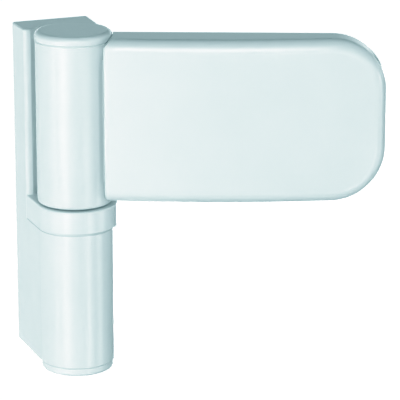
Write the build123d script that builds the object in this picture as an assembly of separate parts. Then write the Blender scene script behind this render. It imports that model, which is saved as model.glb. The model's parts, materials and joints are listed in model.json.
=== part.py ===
from build123d import *
import os
from math import sin, cos, radians, degrees, acos, atan2, hypot

os.makedirs("parts", exist_ok=True)

# Surface-mounted door hinge: a lower frame knuckle with its tall base, an
# upper leaf knuckle with a flag, one upright pin, height and sideways setting.
#
# Frame of the model, millimetres:
#   Z is the hinge line, upward; z = 0 is the lower end of the frame extrusion
#   +X runs along the leaf as it stands, +Y points into the door
# The frame part is drawn in its own plan axes (p across, q towards the door
# frame) and then turned by OPEN_DEG about Z: that is how far the leaf stands open.

# ------------------------------------------------------------------ dimensions
OPEN_DEG = 23.0          # leaf angle from closed, as it stands

R_BARREL = 11.0          # both knuckles, diameter 22
R_BORE = 7.5             # bush bore, diameter 15
R_PIN = 5.0              # pin, diameter 10
RUN = 0.04               # radial running clearance of the pin in its bushes

BACK = 23.0              # hinge line to the face that bears on the door frame
P_LEFT = -11.0           # left side of the frame section, tangent to the knuckle
P_RIGHT = 12.0           # right corner of the base
H_FRAME = 97.4           # length of the frame extrusion
Z_LOWER = 40.5           # top of the lower knuckle
R_CLEAR = 14.7           # round hollow that clears the leaf knuckle
Q_HORN = 11.6            # blunt front of the two horns beside that hollow
HORN_R, HORN_R_IN = 1.2, 0.45   # their rounding, outside and towards the hollow
EDGE_TOP, EDGE_LOW = 0.3, 0.35  # broken edges at the sawn ends of the extrusion

Z_COLLAR = 47.9          # top of the bearing collar
R_COLLAR = 11.55         # collar round the front, flush with the left side
COLLAR_P = 0.53          # its centre, moved across so that it stands proud on the right
COLLAR_CH = 0.95         # height of the slope under the collar
COLLAR_SEAM = 0.25       # groove between the collar and the lower knuckle
Q_COLLAR = 12.2          # where the collar ends on the side faces

Z_LEAF0 = 48.35           # lower end of the leaf knuckle
Z_LEAF1 = 96.3           # upper end of the leaf knuckle
Z_CAP = 99.0             # top of the top cap
R_CAP = 11.2
CAP_RIM = 1.6            # rounding of the top cap's rim

T_FOOT = 2.4             # bottom cap below the frame extrusion
R_FOOT = 10.6

R_THREAD = 8.0           # height screw thread, M16 x 1.5
Z_THREAD = 19.6          # top of the threaded part of the lower bore
LIFT = 4.0               # height setting, upward from the lowest position
SHIFT = 2.5              # sideways setting, each way

# flag cover
CX0, CX1 = 9.1, 89.3
CZ0, CZ1 = 50.3, 98.0
CY_BACK = 1.9            # rim next to the door
CY_APEX = -11.0          # highest point of the crowned face
CX_APEX = 33.6
R_CROWN = 290.0
T_COVER = 1.8
R_CORNER = 15.5          # corners at the free end
CUT_TOP, CUT_LOW = 2.3, 1.1   # corners cut off next to the top cap and the collar
R_EDGE = 3.8             # rounding from the crowned face into the sides
R_COVER_CUT = 11.35      # clearance of the cover round the knuckle and top cap

# leaf plate and arm
PLATE_X0, PLATE_X1 = 15.4, 84.5
PLATE_Z0, PLATE_Z1 = 54.0, 94.3
PLATE_Y1 = 2.2           # face that bears on the door
PLATE_T = 3.2
ARM_X1 = 56.0
ARM_Y0, ARM_Y1 = -5.2, -1.1
ARM_Z0, ARM_Z1 = 56.0, 92.0
Z_MID = 0.5 * (CZ0 + CZ1)

# fixing holes
SCREW_R = 2.65           # clearance hole, 5 mm screws
FRAME_SCREW_Z = (60.0, 86.0)
LEAF_SCREW_X = (61.5, 77.5)
LEAF_SCREW_Z = (Z_MID - 13.5, Z_MID + 13.5)
CLAMP_X = 35.0
CLAMP_Z = (Z_MID - 12.0, Z_MID + 12.0)


def cyl(r, z0, z1, x=0.0, y=0.0):
    return Pos(x, y, (z0 + z1) / 2) * Cylinder(r, z1 - z0)


def cone(r0, r1, z0, z1, x=0.0, y=0.0):
    return Pos(x, y, (z0 + z1) / 2) * Cone(r0, r1, z1 - z0)


def ycyl(r, y0, y1, x, z):
    return Pos(x, (y0 + y1) / 2, z) * Rot(-90, 0, 0) * Cylinder(r, y1 - y0)


def xcyl(r, x0, x1, y, z):
    return Pos((x0 + x1) / 2, y, z) * Rot(0, 90, 0) * Cylinder(r, x1 - x0)


def box(x0, x1, y0, y1, z0, z1):
    return Pos((x0 + x1) / 2, (y0 + y1) / 2, (z0 + z1) / 2) * Box(x1 - x0, y1 - y0, z1 - z0)


def hexagon(across):
    return RegularPolygon(across / 2 / cos(radians(30)), 6)


def turned(shape):
    """A piece drawn in the frame part's plan axes, put where it stands."""
    return Rot(0, 0, OPEN_DEG) * shape


def one(shape):
    """The single solid of a shape."""
    s = shape.solids()
    assert len(s) == 1, len(s)
    return s[0]


NODES = {}


def keep(name, shape):
    NODES[name] = shape


# ------------------------------------------------------------ frame extrusion
def tangent_point(px, py, r):
    """Where the line from (px, py) touches the circle r on its right side."""
    a = atan2(py, px) - acos(r / hypot(px, py))
    return r * cos(a), r * sin(a)


def outline(grow=0.0):
    """Plan of the whole extrusion: flat back, straight sides, round front."""
    r = R_BARREL + grow
    tx, ty = tangent_point(P_RIGHT + grow, BACK, r)
    flank = make_face(Polyline((P_LEFT - grow, 0), (P_LEFT - grow, BACK), (P_RIGHT + grow, BACK), (tx, ty), (0, 0), close=True))
    return flank + Circle(r)


plan = outline()
body = extrude(plan, H_FRAME)
# soft vertical edges at the two back corners
back_edges = [e for e in body.edges().filter_by(Axis.Z) if abs(e.center().Y - BACK) < 0.01]
body = fillet(back_edges, 0.7)

# the column above the lower knuckle: everything inside the hollow is milled away
hollow = extrude(Pos(0, 0, Z_LOWER) * Circle(R_CLEAR), H_FRAME)
front = box(-20, 20, -20, Q_HORN, Z_LOWER, H_FRAME + 10)
body = body - hollow - front
horns = [e for e in body.edges().filter_by(Axis.Z)
         if e.center().Z > Z_LOWER + 10 and Q_HORN - 0.1 < e.center().Y < Q_HORN + 0.1]
body = fillet([e for e in horns if abs(e.center().X) > 10.2], HORN_R)
horns = [e for e in body.edges().filter_by(Axis.Z)
         if e.center().Z > Z_LOWER + 10 and Q_HORN - 0.1 < e.center().Y < Q_HORN + 0.1 and abs(e.center().X) < 9.3]
body = fillet(horns, HORN_R_IN)
# broken edges round both sawn ends
body = chamfer(body.edges().group_by(Axis.Z)[-1], EDGE_TOP)
body = chamfer(body.edges().group_by(Axis.Z)[0], EDGE_LOW)
column = body & box(-30, 30, -30, 30, Z_LOWER, Z_COLLAR + 4)

# lower bore: bush seat above, thread below, lead-in at the bottom
body = body - cyl(R_BORE, Z_THREAD - 1, Z_LOWER + 1)
body = body - cyl(R_THREAD, -1, Z_THREAD)
body = body - cone(R_THREAD + 0.6, R_THREAD, 0, 0.6)

# countersunk screw holes through the column, heads in the hollow
for z in FRAME_SCREW_Z:
    body = body - ycyl(SCREW_R, R_CLEAR - 4, BACK + 1, 0.5, z)
    body = body - Pos(0.5, R_CLEAR - 0.6 + 1.35, z) * Rot(90, 0, 0) * Cone(SCREW_R, SCREW_R + 2.7, 2.7)
    body = body - ycyl(SCREW_R + 2.7, R_CLEAR - 6, R_CLEAR - 0.6, 0.5, z)

# blind tapped hole in the back of the lower part, M6
THREAD_R, THREAD_Z, THREAD_L = 2.5, 22.0, 10.0
body = body - ycyl(THREAD_R, BACK - THREAD_L, BACK + 1, 0.5, THREAD_Z)
body = body - Pos(0.5, BACK - THREAD_L - 0.7, THREAD_Z) * Rot(-90, 0, 0) * Cone(0.01, THREAD_R, 1.4)

# tapped hole in the right flank for the screw that holds the pin
LOCK_Z = 31.0
LOCK_R = 2.5
lock_hole = xcyl(LOCK_R, R_BORE - 3, 16, 0, LOCK_Z)
body = body - lock_hole
keep("frame_body", turned(one(body)))

# ------------------------------------------------------------- bearing collar
def collar_plan(cp, cq, r, right, z):
    """Plan of the collar: flush left side, round front, straight right side."""
    a = atan2(Q_COLLAR - cq, right - cp) - acos(r / hypot(right - cp, Q_COLLAR - cq))
    t = (cp + r * cos(a), cq + r * sin(a))
    b = (cp - r, cq)
    m = (cp + r * cos(radians(-100)), cq + r * sin(radians(-100)))
    edges = [Line((b[0], Q_COLLAR), b), ThreePointArc(b, m, t), Line(t, (right, Q_COLLAR)), Line((right, Q_COLLAR), (b[0], Q_COLLAR))]
    return Pos(0, 0, z) * make_face(edges)


seam_plan = collar_plan(0.02, 0.0, R_BARREL + 0.04 - COLLAR_SEAM, P_RIGHT - 0.35 - COLLAR_SEAM, Z_LOWER)
foot_plan = collar_plan(0.02, 0.0, R_BARREL + 0.04, P_RIGHT - 0.35, Z_LOWER + COLLAR_SEAM)
full_plan = collar_plan(COLLAR_P, -0.12, R_COLLAR, P_RIGHT + 0.7, Z_LOWER + COLLAR_CH)
slope = loft([seam_plan, foot_plan], ruled=True) + loft([foot_plan, full_plan], ruled=True)
upper = extrude(full_plan, Z_COLLAR - Z_LOWER - COLLAR_CH)
rim = [e for e in upper.edges().filter_by(Plane.XY)
       if abs(e.center().Z - Z_COLLAR) < 0.01 and abs(e.center().Y - Q_COLLAR) > 0.1]
upper = fillet(rim, 0.4)
ring = slope + upper
ring = ring - column
FLANGE_T, FLANGE_R = 1.6, 9.4
ring = ring - cyl(FLANGE_R, Z_LOWER - 1, Z_LOWER + FLANGE_T)
ring = ring - cyl(R_PIN + 0.35, Z_LOWER, Z_COLLAR + 1)
ring = ring - cone(R_PIN + 0.35, R_PIN + 0.95, Z_COLLAR - 0.6, Z_COLLAR)
keep("bearing_collar", turned(one(ring)))

# ------------------------------------------------------------------ frame bush
bush = cyl(R_BORE, Z_THREAD + 0.4, Z_LOWER) + cyl(FLANGE_R, Z_LOWER, Z_LOWER + FLANGE_T)
bush = bush - cyl(R_PIN + RUN, Z_THREAD - 1, Z_LOWER + 5)
bush = bush - xcyl(LOCK_R + 0.1, 2, 12, 0, LOCK_Z)
keep("frame_bush", turned(one(bush)))

# --------------------------------------------------- screw that holds the pin
lock = xcyl(LOCK_R - 0.02, 5.6, 10.6, 0, LOCK_Z) + xcyl(1.5, 4.55, 5.6, 0, LOCK_Z)
lock = lock - Pos(10.6 - 1.25, 0, LOCK_Z) * Rot(0, 90, 0) * extrude(hexagon(2.5), 3)
keep("pin_lock_screw", turned(one(lock)))

# ------------------------------------------------------------------ bottom cap
foot = cyl(R_FOOT, -T_FOOT, 0)
foot = fillet(foot.edges().group_by(Axis.Z)[0], 1.0)
foot = chamfer(foot.edges().group_by(Axis.Z)[-1], 0.2)
skirt = cyl(R_THREAD, 0, 3.6) - cyl(R_THREAD - 1.5, -1, 5)
# four slits let the skirt give way
for k in range(2):
    skirt = skirt - Rot(0, 0, 45 + 90 * k) * box(-12, 12, -0.6, 0.6, 0.8, 5)
foot = foot + skirt
foot = foot - cyl(R_THREAD - 1.5, -0.9, 1)
keep("bottom_cap", turned(one(foot)))

# ---------------------------------------------------------------- height screw
HS0, HS1 = 4.6, 14.6
hs = cyl(R_THREAD - 0.05, HS0, HS1)
hs = chamfer(hs.edges().group_by(Axis.Z)[0] + hs.edges().group_by(Axis.Z)[-1], 0.6)
hs = hs - Pos(0, 0, HS0) * extrude(hexagon(6.0), 5.5)
hs = hs - Pos(0, 0, HS0 + 0.3) * Cone(4.1, 3.4, 0.6)
keep("height_screw", turned(one(hs)))

# ------------------------------------------------------------------- hinge pin
PIN0, PIN1 = HS1 + 0.02, 88.0
pin = cyl(R_PIN, PIN0, PIN1)
pin = chamfer(pin.edges().group_by(Axis.Z)[0], 0.8)
pin = fillet(pin.edges().group_by(Axis.Z)[-1], 1.6)
# groove for the lock screw: long enough for the height setting
groove_z0, groove_z1 = LOCK_Z - 1.7 - LIFT, LOCK_Z + 1.7
groove = box(4.1, 8, -1.7, 1.7, groove_z0, groove_z1)
pin = pin - groove
# grease ring between the two leaf bushes
ring_cut = cyl(R_PIN + 1, 68.5, 71.5) - cyl(R_PIN - 0.35, 68, 72)
pin = pin - ring_cut
keep("hinge_pin", turned(one(pin)))

# ----------------------------------------------------------------- leaf knuckle
knuckle = cyl(R_BARREL, Z_LEAF0, Z_LEAF1)
arm = box(6, ARM_X1, ARM_Y0, ARM_Y1, ARM_Z0, ARM_Z1)
arm_ends = [e for e in arm.edges().filter_by(Axis.Y) if e.center().X > 50]
arm = fillet(arm_ends, 4.0)
boss = box(42.5, ARM_X1, -7.0, ARM_Y1, Z_MID - 5.0, Z_MID + 5.0)
boss = fillet([e for e in boss.edges().filter_by(Axis.X) if e.center().Y < -6.5], 1.6)
arm = arm + boss
# a rib each side of the spindle boss runs back to the knuckle
for s in (-1, 1):
    arm = arm + box(6, 43.5, -6.6, ARM_Y0 + 0.5, Z_MID + s * 3.4 - 0.8, Z_MID + s * 3.4 + 0.8)
knuckle = knuckle + arm
# gussets where the arm leaves the knuckle
root = make_face(Polyline((9.0, ARM_Y0), (15.5, ARM_Y0), (8.6, -7.2), close=True))
knuckle = knuckle + extrude(Pos(0, 0, ARM_Z0) * root, ARM_Z1 - ARM_Z0)
ends = [e for e in knuckle.edges().filter_by(GeomType.CIRCLE)
        if (abs(e.center().Z - Z_LEAF0) < 0.01 or abs(e.center().Z - Z_LEAF1) < 0.01) and e.radius > 10]
low_end = [e for e in ends if e.center().Z < Z_LEAF0 + 1]
top_end = [e for e in ends if e.center().Z > Z_LEAF0 + 1]
knuckle = fillet(low_end, 1.0)
top_end = [e for e in knuckle.edges().filter_by(GeomType.CIRCLE) if abs(e.center().Z - Z_LEAF1) < 0.01 and e.radius > 10]
knuckle = chamfer(top_end, 0.3)
SPINDLE_Y, SPINDLE_R = -3.8, 2.0
BORE_X0 = 43.4
knuckle = knuckle - xcyl(SPINDLE_R + 0.05, BORE_X0, ARM_X1 + 1, SPINDLE_Y, Z_MID)
for z in CLAMP_Z:
    slot = extrude(Pos(CLAMP_X, ARM_Y1 + 1, z) * Rot(90, 0, 0) * SlotOverall(5.5 + 2 * SHIFT + 0.8, 5.5), 8)
    knuckle = knuckle - slot
# pockets in the arm's rear face for the back legs of the cover clips
CLIP_X0, CLIP_X1 = 17.0, 26.0
CLIP_T = 0.6
for zc, s in ((ARM_Z1, 1), (ARM_Z0, -1)):
    lo, hi = sorted((zc + s * 1, zc - s * 7.6))
    knuckle = knuckle - box(CLIP_X0 - 0.3, CLIP_X1 + 0.3, ARM_Y1 - 0.75, ARM_Y1 + 1, lo, hi)
BUSH_LEN = 19.0
knuckle = knuckle - cyl(R_BORE, Z_LEAF0 - 1, Z_LEAF1 + 1)
knuckle = knuckle - cyl(FLANGE_R, Z_LEAF0 - 1, Z_LEAF0 + 1.3)
keep("leaf_knuckle", one(knuckle))

# ------------------------------------------------------------------ leaf bushes
lb = cyl(R_BORE, Z_LEAF0 + 1.3, Z_LEAF0 + BUSH_LEN) + cyl(FLANGE_R, Z_LEAF0 + 0.1, Z_LEAF0 + 1.3)
lb = lb - cyl(R_PIN + RUN, 0, 120)
keep("lower_leaf_bush", one(lb))
PAD0, PAD1, PLUG1 = PIN1 + 0.05, PIN1 + 2.4, 95.0
ub = cyl(R_BORE, PIN1 - 0.4 - BUSH_LEN + 3, PIN1 - 0.4) - cyl(R_PIN + RUN, 0, 120)
keep("upper_leaf_bush", one(ub))

# -------------------------------------------------- thrust pad and thrust plug
pad = cyl(R_BORE - 0.05, PAD0, PAD1)
pad = fillet(pad.edges().group_by(Axis.Z)[0], 0.5)
keep("thrust_pad", one(pad))
plug = cyl(R_BORE, PAD1, PLUG1)
plug = chamfer(plug.edges().group_by(Axis.Z)[-1], 0.4)
plug = plug - Pos(0, 0, PLUG1 - 2.6) * extrude(hexagon(6.0), 4)
keep("thrust_plug", one(plug))

# --------------------------------------------------------------------- top cap
cap = cyl(R_CAP, Z_LEAF1, Z_CAP)
cap = fillet(cap.edges().group_by(Axis.Z)[-1], CAP_RIM)
cap = chamfer(cap.edges().group_by(Axis.Z)[0], 0.35)
spigot = cyl(R_BORE, PLUG1 + 0.2, Z_LEAF1) - cyl(R_BORE - 1.4, PLUG1, Z_LEAF1 - 0.001)
cap = cap + spigot
keep("top_cap", one(cap))

# ------------------------------------------------------------------ flag cover
def flag(inset, y_front_pad):
    """Crowned, round-cornered slab; inset shrinks it on every face but the rim."""
    x0, x1, z0, z1 = CX0 + inset, CX1 - inset, CZ0 + inset, CZ1 - inset
    rc = R_CORNER - inset
    slab = box(x0, x1, CY_APEX - 5, CY_BACK + y_front_pad, z0, z1)
    slab = fillet([e for e in slab.edges().filter_by(Axis.Y) if e.center().X > 50], rc)
    if not inset:
        near_y = [e for e in slab.edges().filter_by(Axis.Y) if e.center().X < CX0 + 0.1 and e.center().Z < Z_MID]
        slab = chamfer(near_y, CUT_LOW)
    crown = cyl(R_CROWN - inset, CZ0 - 20, CZ1 + 20, CX_APEX, CY_APEX + R_CROWN)
    slab = slab & crown
    if not inset:
        # soft edges all round the crowned face, crisper beside the knuckle
        face_edges = [e for e in slab.edges() if e.center().Y < -3 and not (abs(e.tangent_at(0.5).Y) > 0.9)]
        long_edges = [e for e in face_edges if e.center().X > CX0 + 1]
        slab = fillet(long_edges, R_EDGE)
        near = [e for e in slab.edges() if e.center().X < CX0 + 0.3 and e.center().Y < -2]
        slab = fillet(near, 0.9)
        corner = Polyline((CX0 - 2, CZ1 - CUT_TOP - 2), (CX0 + CUT_TOP + 2, CZ1 + 2), (CX0 - 2, CZ1 + 2), close=True)
        corner = extrude(Pos(0, 10, 0) * (Plane.XZ * make_face(corner)), 40)
        slab = slab - corner
    return slab


outer = flag(0, 0)
inner = flag(T_COVER, 5)
inner_front = [e for e in inner.edges() if e.center().Y < -2 and not (abs(e.tangent_at(0.5).Y) > 0.9)]
inner = fillet(inner_front, 0.8)
cover = outer - inner
# ribs inside: pairs that hold the clips, and two low stiffeners on the face
for zw, s in ((CZ1 - T_COVER, -1), (CZ0 + T_COVER, 1)):
    lo, hi = sorted((zw + s * 0.9, zw - s * 0.5))
    for ya, yb in ((-5.9, -5.0), (-1.9, -1.0)):
        cover = cover + box(CLIP_X0 - 1, CLIP_X1 + 1, ya, yb, lo, hi)
# stiffener between the arm's boss and the free end, reaching down from the face
stiff = box(73.6, 74.8, -10, -4.4, CZ0 + 3.2, CZ1 - 3.2)
cover = cover + (stiff & flag(0.6, 0))
# clearance round the knuckle and the top cap, and the way in for the arm
cover = cover - cyl(R_COVER_CUT, CZ0 - 5, CZ1 + 5)
cover = cover - box(5, 13.5, -8.0, CY_BACK + 1, ARM_Z0 - 0.5, ARM_Z1 + 0.5)
keep("flag_cover", one(cover))

# ----------------------------------------------------------------- cover clips
def clip(zc, s):
    yf, yb = ARM_Y0 - CLIP_T / 2, ARM_Y1 - 0.05 - CLIP_T / 2
    mid = (yf + yb) / 2
    tip = (CZ1 - T_COVER - CLIP_T / 2 - 0.12) if s > 0 else (CZ0 + T_COVER + CLIP_T / 2 + 0.12)
    pts = [(yf, zc - s * 7.2), (yf, zc + s * 1.3), (mid, tip), (yb, zc + s * 1.3), (yb, zc - s * 7.2)]
    line = FilletPolyline(*[(y, z) for y, z in pts], radius=0.55)
    strip = trace(line, CLIP_T)
    strip = extrude(Pos(CLIP_X0, 0, 0) * (Plane.YZ * strip), CLIP_X1 - CLIP_X0, dir=(1, 0, 0))
    return one(strip)


keep("cover_clips", Compound([clip(ARM_Z1, 1), clip(ARM_Z0, -1)]))

# ------------------------------------------------------------------ leaf plate
PY0 = PLATE_Y1 - PLATE_T
plate = box(PLATE_X0, PLATE_X1, PY0, PLATE_Y1, PLATE_Z0, PLATE_Z1)
plate = fillet([e for e in plate.edges().filter_by(Axis.Y) if e.center().X > 50], 11.5)
plate = fillet([e for e in plate.edges().filter_by(Axis.Y) if e.center().X < 50], 2.0)
plate = chamfer([e for e in plate.edges() if abs(e.center().Y - PY0) < 0.01], 0.4)
for x in LEAF_SCREW_X:
    for z in LEAF_SCREW_Z:
        plate = plate - ycyl(SCREW_R, PY0 - 1, PLATE_Y1 + 1, x, z)
        plate = plate - Pos(x, PY0 + 1.1, z) * Rot(90, 0, 0) * Cone(SCREW_R, SCREW_R + 2.2, 2.2)
for z in CLAMP_Z:
    plate = plate - ycyl(2.5, PY0 - 1, PLATE_Y1 + 1, CLAMP_X, z)
BLOCK_X0, BLOCK_X1 = 60.0, 66.0
RIVETS = [(63.0, Z_MID - 4.6), (63.0, Z_MID + 4.6)]
for x, z in RIVETS:
    plate = plate - ycyl(1.25, PY0 - 1, PLATE_Y1 + 1, x, z)
    plate = plate - Pos(x, PLATE_Y1 - 0.4, z) * Rot(90, 0, 0) * Cone(2.05, 1.25, 0.8)
keep("leaf_plate", one(plate))

# -------------------------------------------------- spindle block with rivets
block = box(BLOCK_X0, BLOCK_X1, -6.6, PY0, Z_MID - 7.4, Z_MID + 7.4)
block = fillet([e for e in block.edges().filter_by(Axis.X) if e.center().Y < -6], 1.2)
block = block - xcyl(SPINDLE_R + 0.05, BLOCK_X0 - 1, BLOCK_X1 + 1, SPINDLE_Y, Z_MID)
for x, z in RIVETS:
    block = block - ycyl(1.25, -9, PY0 + 1, x, z)
keep("spindle_block", one(block))

rivets = []
for x, z in RIVETS:
    r = ycyl(1.25, -6.7, PLATE_Y1 - 0.05, x, z)
    r = r + Pos(x, PLATE_Y1 - 0.05 - 0.375, z) * Rot(90, 0, 0) * Cone(2.0, 1.25, 0.75)
    r = r + ycyl(1.9, -7.2, -6.6, x, z)
    rivets.append(one(r))
keep("block_rivets", Compound(rivets))

# ------------------------------------------------- clamp screws with washers
heads, washers = [], []
for z in CLAMP_Z:
    w = ycyl(5.0, ARM_Y0 - 0.83, ARM_Y0 - 0.03, CLAMP_X, z) - ycyl(2.65, -20, 20, CLAMP_X, z)
    washers.append(one(w))
    h = ycyl(4.2, ARM_Y0 - 0.83 - 2.2, ARM_Y0 - 0.83, CLAMP_X, z)
    h = chamfer([e for e in h.edges() if e.center().Y < ARM_Y0 - 2.8], 0.35)
    h = h + ycyl(2.48, ARM_Y0 - 0.83, PLATE_Y1 - 0.3, CLAMP_X, z)
    h = h - Pos(CLAMP_X, ARM_Y0 - 0.83 - 2.3, z) * Rot(-90, 0, 0) * extrude(hexagon(3.0), 1.6)
    heads.append(one(h))
keep("clamp_screws", Compound(heads))
keep("clamp_washers", Compound(washers))

# -------------------------------------------------- sideways setting spindle
SP0 = 47.2
sp = xcyl(SPINDLE_R, SP0, BLOCK_X1 + 0.05, SPINDLE_Y, Z_MID)
head = xcyl(2.35, BLOCK_X1 + 0.05, BLOCK_X1 + 3.4, SPINDLE_Y, Z_MID)
head = chamfer([e for e in head.edges() if e.center().X > BLOCK_X1 + 3], 0.3)
sp = sp + head
sp = sp - Pos(BLOCK_X1 + 3.4 - 2.2, SPINDLE_Y, Z_MID) * Rot(0, 90, 0) * extrude(hexagon(2.5), 3)
CL0, CL1 = BLOCK_X0 - 0.75, BLOCK_X0 - 0.05
sp = sp - (xcyl(SPINDLE_R + 1, CL0, CL1, SPINDLE_Y, Z_MID) - xcyl(SPINDLE_R - 0.45, CL0 - 1, CL1 + 1, SPINDLE_Y, Z_MID))
keep("shift_spindle", one(sp))
cl = xcyl(2.7, CL0 + 0.05, CL1 - 0.05, SPINDLE_Y, Z_MID) - xcyl(SPINDLE_R - 0.45, CL0 - 1, CL1 + 1, SPINDLE_Y, Z_MID)
cl = cl - box(CL0 - 1, CL1 + 1, SPINDLE_Y - 1.2, SPINDLE_Y + 1.2, Z_MID - 5, Z_MID)
keep("spindle_clip", one(cl))

for name, shape in NODES.items():
    export_step(shape, f"parts/{name}.step")
print(len(NODES), "nodes")
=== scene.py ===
import bpy
import json
import math
from mathutils import Vector, Matrix


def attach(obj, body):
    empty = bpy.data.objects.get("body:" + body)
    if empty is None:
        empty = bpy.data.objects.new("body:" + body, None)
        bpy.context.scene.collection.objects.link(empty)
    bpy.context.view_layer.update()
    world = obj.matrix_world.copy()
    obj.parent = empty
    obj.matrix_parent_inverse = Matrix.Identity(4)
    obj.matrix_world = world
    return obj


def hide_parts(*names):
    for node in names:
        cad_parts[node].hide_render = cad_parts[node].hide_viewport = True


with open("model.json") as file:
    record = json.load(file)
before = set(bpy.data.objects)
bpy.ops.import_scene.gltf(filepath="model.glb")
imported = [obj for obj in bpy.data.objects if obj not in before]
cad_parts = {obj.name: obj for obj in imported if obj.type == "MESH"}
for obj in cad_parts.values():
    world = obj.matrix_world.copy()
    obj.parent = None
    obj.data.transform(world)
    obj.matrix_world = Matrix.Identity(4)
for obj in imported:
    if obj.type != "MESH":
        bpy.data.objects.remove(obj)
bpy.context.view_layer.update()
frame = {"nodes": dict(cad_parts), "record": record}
nodes = frame["nodes"]
scene = bpy.context.scene


# ------------------------------------------------------------------ materials
def srgb(r, g, b):
    """Linear colour from 0-255 display values."""
    out = []
    for c in (r, g, b):
        c /= 255.0
        out.append(c / 12.92 if c <= 0.04045 else ((c + 0.055) / 1.055) ** 2.4)
    return (out[0], out[1], out[2], 1.0)


class Mat:
    """A node material with one Principled shader."""

    def __init__(self, name):
        self.m = bpy.data.materials.new(name)
        self.m.use_nodes = True
        self.t = self.m.node_tree
        self.t.nodes.clear()
        self.out = self.t.nodes.new("ShaderNodeOutputMaterial")
        self.p = self.t.nodes.new("ShaderNodeBsdfPrincipled")
        self.t.links.new(self.p.outputs[0], self.out.inputs[0])
        self.co = self.t.nodes.new("ShaderNodeTexCoord").outputs["Object"]

    def new(self, kind, **values):
        n = self.t.nodes.new(kind)
        for k, v in values.items():
            setattr(n, k, v)
        return n

    def link(self, a, b):
        self.t.links.new(a, b)

    def scaled(self, sx, sy, sz):
        n = self.new("ShaderNodeMapping")
        n.inputs["Scale"].default_value = (sx, sy, sz)
        self.link(self.co, n.inputs["Vector"])
        return n.outputs[0]

    def noise(self, scale, detail=2.0, rough=0.5, vector=None):
        n = self.new("ShaderNodeTexNoise")
        n.inputs["Scale"].default_value = scale
        n.inputs["Detail"].default_value = detail
        n.inputs["Roughness"].default_value = rough
        self.link(vector or self.co, n.inputs["Vector"])
        return n.outputs["Fac"]

    def cells(self, scale, vector=None, feature="F1"):
        n = self.new("ShaderNodeTexVoronoi", feature=feature)
        n.inputs["Scale"].default_value = scale
        self.link(vector or self.co, n.inputs["Vector"])
        return n.outputs["Distance"]

    def ramp(self, fac, stops):
        n = self.new("ShaderNodeValToRGB")
        e = n.color_ramp.elements
        e[0].position, e[0].color = stops[0]
        e[1].position, e[1].color = stops[-1]
        for pos, col in stops[1:-1]:
            x = e.new(pos)
            x.color = col
        self.link(fac, n.inputs[0])
        return n.outputs["Color"]

    def span(self, fac, a, b, lo=0.3, hi=0.7):
        n = self.new("ShaderNodeMapRange")
        n.inputs["From Min"].default_value = lo
        n.inputs["From Max"].default_value = hi
        n.inputs["To Min"].default_value = a
        n.inputs["To Max"].default_value = b
        self.link(fac, n.inputs["Value"])
        return n.outputs[0]

    def bump(self, height, distance, strength=1.0, normal=None):
        n = self.new("ShaderNodeBump")
        n.inputs["Strength"].default_value = strength
        n.inputs["Distance"].default_value = distance
        self.link(height, n.inputs["Height"])
        if normal:
            self.link(normal, n.inputs["Normal"])
        return n.outputs[0]

    def add(self, a, b, weight=1.0):
        n = self.new("ShaderNodeMath", operation="MULTIPLY_ADD")
        self.link(b, n.inputs[0])
        n.inputs[1].default_value = weight
        self.link(a, n.inputs[2])
        return n.outputs[0]

    def set(self, **values):
        for k, v in values.items():
            s = self.p.inputs[k.replace("_", " ")]
            if hasattr(v, "is_output"):
                self.link(v, s)
            else:
                s.default_value = v


def white_coat():
    """White powder coat: satin, with a faint orange peel from the oven."""
    a = Mat("white_coat")
    peel = a.noise(900, 3.0, 0.5)
    cell = a.cells(1500)
    a.set(Normal=a.bump(a.add(peel, cell, 0.25), 0.000006, 0.35))
    a.set(Base_Color=a.ramp(a.noise(55, 3.0, 0.6), [(0.3, (0.788, 0.788, 0.786, 1)), (0.7, (0.812, 0.812, 0.811, 1))]))
    a.set(Roughness=a.span(a.noise(260, 3.0), 0.21, 0.25))
    a.p.inputs["IOR"].default_value = 1.5
    a.p.inputs["Specular IOR Level"].default_value = 0.5
    return a.m


def white_plastic():
    """White moulded plastic: finely eroded tool surface."""
    a = Mat("white_plastic")
    fine = a.noise(2600, 2.0, 0.6)
    flow = a.noise(38, 2.0, 0.5)
    a.set(Normal=a.bump(a.add(fine, flow, 0.4), 0.000003, 0.2))
    a.set(Base_Color=a.ramp(a.noise(40, 2.0, 0.5), [(0.3, (0.799, 0.80, 0.799, 1)), (0.7, (0.819, 0.82, 0.82, 1))]))
    a.set(Roughness=a.span(a.noise(420, 2.0), 0.18, 0.22))
    a.p.inputs["IOR"].default_value = 1.49
    return a.m


def metal(name, color, dark, rough, grain=(60, 60, 4000), amount=0.000003, tint=None):
    """Bare or plated metal with fine directional grain and a faint patina."""
    a = Mat(name)
    g = a.noise(1.0, 2.0, 0.6, a.scaled(*grain))
    cloud = a.noise(110, 4.0, 0.6)
    stops = [(0.3, dark), (0.5, color), (0.75, tint or color)]
    a.set(Base_Color=a.ramp(cloud, stops))
    a.set(Roughness=a.span(a.add(a.noise(160, 2.0, 0.5), g, 0.3), rough - 0.02, rough + 0.03, 0.4, 0.9))
    a.set(Normal=a.bump(g, amount, 0.6))
    a.p.inputs["Metallic"].default_value = 1.0
    return a.m


def polymer(name, color, dark, rough):
    """Matte bearing polymer with a fine fibre fleck."""
    a = Mat(name)
    a.set(Base_Color=a.ramp(a.noise(700, 4.0, 0.7), [(0.3, dark), (0.65, color)]))
    a.set(Roughness=a.span(a.noise(500, 2.0), rough - 0.05, rough + 0.06))
    a.set(Normal=a.bump(a.noise(2200, 2.0), 0.00001, 0.4))
    return a.m


def black_oxide():
    a = Mat("dark_steel")
    a.set(Base_Color=a.ramp(a.noise(350, 4.0, 0.6), [(0.3, (0.018, 0.019, 0.022, 1)), (0.7, (0.05, 0.048, 0.05, 1))]))
    a.set(Roughness=a.span(a.noise(420, 3.0), 0.34, 0.5))
    a.set(Normal=a.bump(a.noise(2400, 2.0), 0.000006, 0.4))
    a.p.inputs["Metallic"].default_value = 0.85
    return a.m


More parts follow.
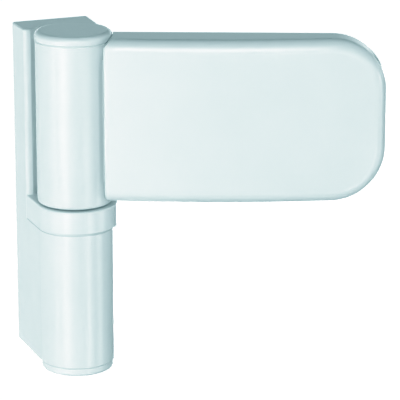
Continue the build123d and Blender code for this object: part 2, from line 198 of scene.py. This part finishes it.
MATS = {
    "white_coat": white_coat(),
    "white_plastic": white_plastic(),
    "bush_polymer": polymer("bush_polymer", (0.66, 0.64, 0.56, 1), (0.56, 0.54, 0.46, 1), 0.5),
    "pin_steel": metal("pin_steel", (0.66, 0.67, 0.68, 1), (0.60, 0.61, 0.62, 1), 0.24),
    "zinc_steel": metal("zinc_steel", (0.77, 0.78, 0.79, 1), (0.71, 0.725, 0.74, 1), 0.40, (2400, 2400, 160), 0.000002, (0.79, 0.785, 0.76, 1)),
    "spring_steel": metal("spring_steel", (0.52, 0.53, 0.55, 1), (0.44, 0.45, 0.47, 1), 0.30, (2500, 60, 60)),
    "dark_steel": black_oxide(),
    "brass_part": metal("brass_part", (0.72, 0.52, 0.22, 1), (0.58, 0.40, 0.16, 1), 0.28, (60, 3000, 60)),
    "bronze": metal("bronze", (0.50, 0.31, 0.15, 1), (0.38, 0.22, 0.11, 1), 0.42, (1500, 1500, 1500), 0.00001),
}
slot_of = {s["node"]: s["material_slot"] for s in frame["record"]["subparts"]}
for name, o in nodes.items():
    o.data.materials.clear()
    o.data.materials.append(MATS[slot_of[name]])

# ------------------------------------------------------------------- threads
# The screws stand in CAD as plain shanks. Here each is one closed mesh with its
# real helical thread, on the same axis and between the same ends.
AROUND = 72


def ring(r_of, s):
    """One loop of points at the station s along the axis."""
    pts = []
    for k in range(AROUND):
        t = 2 * math.pi * k / AROUND
        r = r_of(t)
        pts.append((r * math.cos(t), r * math.sin(t), s))
    return pts


def hex_ring(across, s):
    """A hexagon with as many points as the other loops."""
    def r_of(t):
        u = (t + math.pi / 6) % (math.pi / 3) - math.pi / 6
        return across / 2 / math.cos(u)
    return ring(r_of, s)


def screw_loops(profile, thread=None, socket=None):
    """Loops from the start of the axis to its end, then down into the socket.

    profile: (station, radius) pairs; thread: (start, end, crest, root, pitch);
    socket: (across flats, depth), in the face at the end of the axis.
    """
    loops = []
    for (s0, r0), (s1, r1) in zip(profile, profile[1:]):
        if not loops:
            loops.append(ring(lambda t: r0, s0))
        if thread and s0 >= thread[0] - 1e-9 and s1 <= thread[1] + 1e-9:
            a, b, crest, root, pitch = thread
            steps = max(8, int((s1 - s0) / pitch * 12))
            for i in range(1, steps + 1):
                s = s0 + (s1 - s0) * i / steps
                ease = min(1.0, (s - a) / pitch, (b - s) / pitch)
                ease = max(0.0, ease)

                def r_of(t, s=s, ease=ease):
                    u = (s / pitch - t / (2 * math.pi)) % 1.0
                    tri = 1.0 - abs(2.0 * u - 1.0)
                    cut = min(1.0, max(0.0, (tri - 0.12) / 0.68))
                    return crest - (crest - root) * cut * ease
                loops.append(ring(r_of, s))
        else:
            loops.append(ring(lambda t: r1, s1))
    if socket:
        end = profile[-1][0]
        across, depth = socket
        loops.append(hex_ring(across * 1.05, end))
        loops.append(hex_ring(across, end - 0.00008))
        loops.append(hex_ring(across, end - depth))
    return loops


def threaded(name, axis, origin, parts, body, node, slot):
    """Build the screws of one node as one mesh. axis: where the local Z goes."""
    verts, faces = [], []
    turn = Vector(axis).to_track_quat("Z", "Y")
    for offset, loops in parts:
        base = len(verts)
        at = Vector(origin) + Vector(offset)
        for loop in loops:
            verts.extend(at + turn @ Vector(p) for p in loop)
        for j in range(len(loops) - 1):
            for k in range(AROUND):
                a = base + j * AROUND + k
                b = base + j * AROUND + (k + 1) % AROUND
                faces.append((a, b, b + AROUND, a + AROUND))
        faces.append(tuple(base + k for k in reversed(range(AROUND))))
        last = base + (len(loops) - 1) * AROUND
        faces.append(tuple(last + k for k in range(AROUND)))
    me = bpy.data.meshes.new(name)
    me.from_pydata([tuple(v) for v in verts], [], faces)
    me.polygons.foreach_set("use_smooth", [len(f) == 4 for f in faces])
    me.update()
    me.set_sharp_from_angle(angle=math.radians(50))
    o = bpy.data.objects.new(name, me)
    scene.collection.objects.link(o)
    o.data.materials.append(MATS[slot])
    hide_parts(node)
    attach(o, body)
    return o


MM = 0.001


def mm(pairs):
    return [(a * MM, b * MM) for a, b in pairs]


# height screw, M16 x 1.5, hexagon socket 6 in its lower end
threaded("height_screw_m16", (0, 0, -1), (0, 0, 0), [((0, 0, 0), screw_loops(
    mm([(-14.6, 7.35), (-14.0, 7.95), (-5.2, 7.95), (-4.6, 7.35)]),
    (-14.0 * MM, -5.2 * MM, 7.95 * MM, 7.05 * MM, 1.5 * MM), (6.0 * MM, 5.5 * MM)))],
    "height_adjuster", "height_screw", slot_of["height_screw"])

# sideways setting spindle, M4, hexagon socket 2.5 in its head
threaded("shift_spindle_m4", (1, 0, 0), (0, -3.8 * MM, 74.15 * MM), [((0, 0, 0), screw_loops(
    mm([(47.2, 1.6), (47.6, 2.0), (58.4, 2.0), (59.25, 2.0), (59.25, 1.55), (59.95, 1.55), (59.95, 2.0),
        (66.05, 2.0), (66.05, 2.35), (69.1, 2.35), (69.4, 2.05)]),
    (47.6 * MM, 58.4 * MM, 2.0 * MM, 1.57 * MM, 0.7 * MM), (2.5 * MM, 2.2 * MM)))],
    "spindle", "shift_spindle", slot_of["shift_spindle"])

# clamp screws, M5, hexagon socket 3
clamp = screw_loops(
    mm([(-1.9, 2.05), (-1.5, 2.48), (5.2, 2.48), (6.03, 2.48), (6.03, 4.2), (7.88, 4.2), (8.23, 3.85)]),
    (-1.5 * MM, 5.2 * MM, 2.48 * MM, 1.98 * MM, 0.8 * MM), (3.0 * MM, 1.5 * MM))
threaded("clamp_screws_m5", (0, -1, 0), (35.0 * MM, 0, 0), [((0, 0, 62.15 * MM), clamp), ((0, 0, 86.15 * MM), clamp)],
    "door_plate", "clamp_screws", slot_of["clamp_screws"])

# set screw that holds the pin, M5 with a dog point, hexagon socket 2.5
turn23 = math.radians(23.0)
threaded("pin_lock_screw_m5", (math.cos(turn23), math.sin(turn23), 0), (0, 0, 31.0 * MM), [((0, 0, 0), screw_loops(
    mm([(4.55, 1.4), (4.65, 1.5), (5.6, 1.5), (5.6, 2.1), (5.95, 2.48), (10.25, 2.48), (10.6, 2.2)]),
    (5.95 * MM, 10.25 * MM, 2.48 * MM, 2.0 * MM, 0.8 * MM), (2.5 * MM, 1.25 * MM)))],
    "frame_part", "pin_lock_screw", slot_of["pin_lock_screw"])

# ---------------------------------------------------------------------- stage
FLOOR_Z = -0.80
LEVEL = 1.09             # common factor of all the light


def plain(name, color, emission):
    a = Mat(name)
    a.set(Base_Color=a.ramp(a.noise(2.0, 2.0), [(0.3, color), (0.7, color)]))
    a.p.inputs["Roughness"].default_value = 0.9
    a.p.inputs["Specular IOR Level"].default_value = 0.0
    a.p.inputs["Emission Color"].default_value = (1, 1, 1, 1)
    a.p.inputs["Emission Strength"].default_value = emission
    return a.m


def ground(name, z, color, glow, seen):
    """The floor is two sheets: one that the camera sees, one that lights the object."""
    bpy.ops.mesh.primitive_plane_add(size=30, location=(0, 0, z))
    o = bpy.context.object
    o.name = name
    o.data.materials.append(plain(name + "_white", color, glow))
    o.visible_camera = seen
    o.visible_diffuse = not seen
    o.visible_glossy = not seen
    o.visible_shadow = not seen


ground("floor", FLOOR_Z, (0.35, 0.35, 0.35, 1), 1.0, True)
ground("floor_under", FLOOR_Z - 0.002, (0.2, 0.2, 0.2, 1), 0.0, False)


def glow(name, x0, x1, y0, y1, color):
    """A part of the floor that lights the object and isn't seen itself."""
    bpy.ops.mesh.primitive_plane_add(size=1, location=((x0 + x1) / 2, (y0 + y1) / 2, FLOOR_Z - 0.001))
    o = bpy.context.object
    o.name = name
    o.scale = (x1 - x0, y1 - y0, 1)
    m = plain(name + "_white", (0, 0, 0, 1), LEVEL)
    shader = [n for n in m.node_tree.nodes if n.type == "BSDF_PRINCIPLED"][0]
    shader.inputs["Emission Color"].default_value = (*color, 1)
    o.data.materials.append(m)
    o.visible_camera = False


glow("glow_front_left", -6, 0, -6, 0, (0.61, 0.61, 0.61))
glow("glow_back_left", -6, 0, 0, 6, (0.93, 0.93, 0.93))

# ---------------------------------------------------------------------- light
world = bpy.data.worlds.new("studio")
scene.world = world
world.use_nodes = True
wt = world.node_tree
wt.nodes.clear()
w_out = wt.nodes.new("ShaderNodeOutputWorld")
w_bg = wt.nodes.new("ShaderNodeBackground")
w_cam = wt.nodes.new("ShaderNodeBackground")
w_mix = wt.nodes.new("ShaderNodeMixShader")
w_path = wt.nodes.new("ShaderNodeLightPath")
w_co = wt.nodes.new("ShaderNodeTexCoord")
w_sep = wt.nodes.new("ShaderNodeSeparateXYZ")
w_ramp = wt.nodes.new("ShaderNodeValToRGB")
wt.links.new(w_co.outputs["Generated"], w_sep.inputs[0])
w_map = wt.nodes.new("ShaderNodeMapRange")
w_map.inputs["From Min"].default_value = -1.0
w_map.inputs["From Max"].default_value = 1.0
wt.links.new(w_sep.outputs["Z"], w_map.inputs["Value"])
wt.links.new(w_map.outputs[0], w_ramp.inputs[0])
e = w_ramp.color_ramp.elements
e[0].position, e[0].color = 0.50, (1.59, 1.59, 1.59, 1)
e[1].position, e[1].color = 1.0, (0.0, 0.0, 0.0, 1)
x = e.new(0.66)
x.color = (0.14, 0.14, 0.14, 1)
wt.links.new(w_ramp.outputs["Color"], w_bg.inputs["Color"])
w_bg.inputs["Strength"].default_value = LEVEL
w_cam.inputs["Color"].default_value = (1, 1, 1, 1)
w_cam.inputs["Strength"].default_value = 1.0
wt.links.new(w_path.outputs["Is Camera Ray"], w_mix.inputs[0])
wt.links.new(w_bg.outputs[0], w_mix.inputs[1])
wt.links.new(w_cam.outputs[0], w_mix.inputs[2])
wt.links.new(w_mix.outputs[0], w_out.inputs[0])

CENTRE = Vector((0.035, 0.0, 0.05))


def softbox(name, azimuth, elevation, distance, width, height, power, color=(1, 1, 1), aim=CENTRE):
    """A plain area light. Azimuth 0 is in front (-Y), positive to the right."""
    light = bpy.data.lights.new(name, "AREA")
    light.shape = "RECTANGLE"
    light.size, light.size_y = width, height
    light.energy = power * LEVEL
    light.color = color
    o = bpy.data.objects.new(name, light)
    a, el = math.radians(azimuth), math.radians(elevation)
    back = Vector((math.sin(a) * math.cos(el), -math.cos(a) * math.cos(el), math.sin(el)))
    o.location = aim + back * distance
    o.rotation_mode = "QUATERNION"
    o.rotation_quaternion = back.to_track_quat("Z", "Y")
    o.visible_camera = False
    scene.collection.objects.link(o)
    return o


def strip(azimuth, power, width=0.2):
    """An upright strip light; those on the right are kept low."""
    softbox("strip_%+d" % azimuth, azimuth, -4 if azimuth < 0 else -11, 1.15, width, 1.25 if azimuth < 0 else 0.9, power)


strip(-60, 0.92)
strip(-40, 0.86)
strip(-30, 1.50)
strip(-20, 1.15)
# low, so that only the lower knuckle shows it
softbox("strip_low", 40, -26, 1.15, 0.2, 0.5, 0.95)
softbox("fill_right", 15, -30, 1.3, 1.1, 0.6, 0.45)
strip(50, 0.5)
strip(80, 2.2, 0.35)
softbox("top_front", 0, 45, 1.3, 0.8, 0.5, 2.78)
softbox("front_high", 0, 30, 1.3, 0.8, 0.3, 3.24)
# behind the object, for the views from there
softbox("back", 180, -20, 1.25, 0.9, 0.5, 4.5)

# --------------------------------------------------------------------- camera
cam_data = bpy.data.cameras.new("camera")
cam = bpy.data.objects.new("camera", cam_data)
scene.collection.objects.link(cam)
scene.camera = cam
cam_data.sensor_width = 36.0
cam_data.lens = 234.0
cam.location = (0.05419, -0.72296, 0.26286)
cam.rotation_euler = (math.radians(90.0 - 16.5), 0.0, 0.02488)
cam_data.clip_start, cam_data.clip_end = 0.01, 50.0
cam_data.dof.use_dof = False

scene.view_settings.view_transform = "Standard"
scene.view_settings.look = "None"
scene.view_settings.exposure = 0.0
scene.view_settings.gamma = 1.0
# the photograph's grade: neutral whites that go to a cool teal as they darken
scene.view_settings.use_curve_mapping = True
grade = scene.view_settings.curve_mapping
for channel, points in (
    (0, ((0.10, 0.052), (0.20, 0.122), (0.40, 0.278), (0.63, 0.490), (0.82, 0.713), (0.92, 0.870))),
    (2, ((0.10, 0.113), (0.20, 0.217), (0.40, 0.421), (0.63, 0.652), (0.82, 0.829))),
):
    for px, py in points:
        grade.curves[channel].points.new(px, py)
grade.update()
